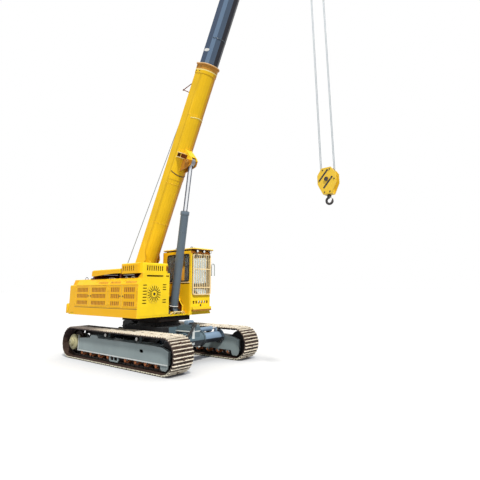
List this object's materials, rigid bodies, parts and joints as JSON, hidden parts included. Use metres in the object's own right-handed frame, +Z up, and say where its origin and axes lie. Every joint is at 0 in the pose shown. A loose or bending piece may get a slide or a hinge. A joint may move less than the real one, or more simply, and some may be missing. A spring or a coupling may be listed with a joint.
{
  "type": "crawler crane",
  "caption": "Crawler crane with two tracks, a slewing upper body, a side cab and a three-section telescoping box boom raised by one cylinder, with a winch and hook block",
  "frame": {"origin": "on the ground, below the middle of the machine's overall plan box, boom tip and counterweight included", "axes": "+X forward, +Y to the machine's left, +Z up"},
  "size_m": [9.3909, 3.408, 17.4605],
  "materials": {
    "paint_yellow": "gloss",
    "paint_boom": "gloss",
    "paint_dark": "satin",
    "paint_grey": "satin",
    "paint_slate": "satin",
    "track_steel": "worn",
    "bare_steel": "satin",
    "rod_chrome": "polished",
    "rust_iron": "rusty",
    "window_glass": "clear",
    "seat_trim": "matte",
    "rope_steel": "satin"
  },
  "bodies": {
    "undercarriage": {"carbody": "paint_dark", "cross_tubes": "paint_grey", "track_frames": "paint_grey", "track_left": "track_steel", "track_right": "track_steel", "bottom_rollers": "rust_iron", "carrier_rollers": "rust_iron", "idlers": "paint_grey", "sprockets": "track_steel", "final_drives": "paint_grey", "slew_ring": "bare_steel"},
    "upper": {"turntable_frame": "paint_dark", "counterweight": "paint_yellow", "right_cabinet": "paint_yellow", "left_cabinet": "paint_yellow", "front_vent": "paint_yellow", "engine_block": "paint_dark", "cab_shell": "paint_yellow", "cab_glass": "window_glass", "roof_guard": "paint_yellow", "front_guard": "paint_yellow", "operator_seat": "seat_trim", "winch_frame": "paint_dark", "handrails": "paint_grey"},
    "side_door_r1": {"door_r1": "paint_yellow"},
    "side_door_r2": {"door_r2": "paint_yellow"},
    "side_door_r3": {"door_r3": "paint_yellow"},
    "side_door_r4": {"door_r4": "paint_yellow"},
    "side_door_l1": {"door_l1": "paint_yellow"},
    "side_door_l2": {"door_l2": "paint_yellow"},
    "hood_lid": {"engine_hood": "paint_yellow"},
    "entry_door": {"cab_door": "paint_yellow", "door_glass": "window_glass"},
    "winch": {"winch_drum": "bare_steel"},
    "base_section": {"boom_base": "paint_boom"},
    "fly_one": {"boom_fly1": "paint_slate"},
    "fly_two": {"boom_fly2": "paint_slate"},
    "sheaves": {"head_sheaves": "track_steel"},
    "cylinder": {"luff_barrel": "paint_slate"},
    "rod": {"luff_rod": "rod_chrome"},
    "hanger": {"rope_falls": "rope_steel"},
    "block": {"hook_block": "paint_yellow"},
    "swivel_hook": {"hook": "track_steel"}
  },
  "joints": [
    {"name": "slew", "type": "hinge", "parent": "undercarriage", "child": "upper", "pos_m": [-1.62546, 0, 1.085], "axis": [0, 0, 1], "continuous": true},
    {"name": "luff", "type": "hinge", "parent": "upper", "child": "base_section", "pos_m": [-2.62546, 0, 2.1], "axis": [0, -1, 0], "range_deg": [-36, 12]},
    {"name": "telescope_one", "type": "slide", "parent": "base_section", "child": "fly_one", "axis": [0.4107, 0, 0.9118], "range_m": [-3.9, 1]},
    {"name": "telescope_two", "type": "slide", "parent": "fly_one", "child": "fly_two", "axis": [0.4107, 0, 0.9118], "range_m": [-3.9, 1]},
    {"name": "head_sheaves_turn", "type": "hinge", "parent": "fly_two", "child": "sheaves", "pos_m": [4.44546, 0, 17.06645], "axis": [0, 1, 0], "continuous": true},
    {"name": "cylinder_foot", "type": "hinge", "parent": "upper", "child": "cylinder", "pos_m": [-0.94546, 0, 1.4], "axis": [0, -1, 0], "range_deg": [-35.5, 12]},
    {"name": "cylinder_rod", "type": "slide", "parent": "cylinder", "child": "rod", "axis": [0.1394, 0, 0.9902], "range_m": [-1.12, 0.38]},
    {"name": "falls_hang", "type": "hinge", "parent": "fly_two", "child": "hanger", "pos_m": [4.44546, 0, 17.06645], "axis": [0, -1, 0], "range_deg": [-12, 36]},
    {"name": "hoist", "type": "slide", "parent": "hanger", "child": "block", "axis": [0, 0, 1], "range_m": [-3.9, 11.4], "deforming": ["rope_falls"]},
    {"name": "hook_swivel", "type": "hinge", "parent": "block", "child": "swivel_hook", "pos_m": [4.44546, 0, 3.95], "axis": [0, 0, 1], "continuous": true},
    {"name": "winch_turn", "type": "hinge", "parent": "upper", "child": "winch", "pos_m": [-3.70546, 0, 2.13], "axis": [0, 1, 0], "continuous": true},
    {"name": "side_door_r1", "type": "hinge", "parent": "upper", "child": "side_door_r1", "pos_m": [-4.16046, -1.473, 1.875], "axis": [0, 0, -1], "range_deg": [0, 85]},
    {"name": "side_door_r2", "type": "hinge", "parent": "upper", "child": "side_door_r2", "pos_m": [-2.28546, -1.473, 1.875], "axis": [0, 0, 1], "range_deg": [0, 85]},
    {"name": "side_door_r3", "type": "hinge", "parent": "upper", "child": "side_door_r3", "pos_m": [-2.20546, -1.473, 1.875], "axis": [0, 0, -1], "range_deg": [0, 85]},
    {"name": "side_door_r4", "type": "hinge", "parent": "upper", "child": "side_door_r4", "pos_m": [-0.82046, -1.473, 1.875], "axis": [0, 0, 1], "range_deg": [0, 85]},
    {"name": "side_door_l1", "type": "hinge", "parent": "upper", "child": "side_door_l1", "pos_m": [-4.16046, 1.473, 1.875], "axis": [0, 0, 1], "range_deg": [0, 85]},
    {"name": "side_door_l2", "type": "hinge", "parent": "upper", "child": "side_door_l2", "pos_m": [-2.22046, 1.473, 1.875], "axis": [0, 0, -1], "range_deg": [0, 85]},
    {"name": "hood", "type": "hinge", "parent": "upper", "child": "hood_lid", "pos_m": [-3.36446, -0.835, 2.547], "axis": [0, -1, 0], "range_deg": [0, 50]},
    {"name": "entry_door", "type": "hinge", "parent": "upper", "child": "entry_door", "pos_m": [-1.67146, 1.34, 2.31], "axis": [0, 0, 1], "range_deg": [0, 88]}
  ],
  "couplings": [
    {"joint": "telescope_two", "follows": "telescope_one", "ratio": 1},
    {"joint": "cylinder_foot", "follows": "luff", "ratio": 0.98},
    {"joint": "cylinder_rod", "follows": "luff", "m_per_rad": 1.75},
    {"joint": "falls_hang", "follows": "luff", "ratio": -1}
  ]
}
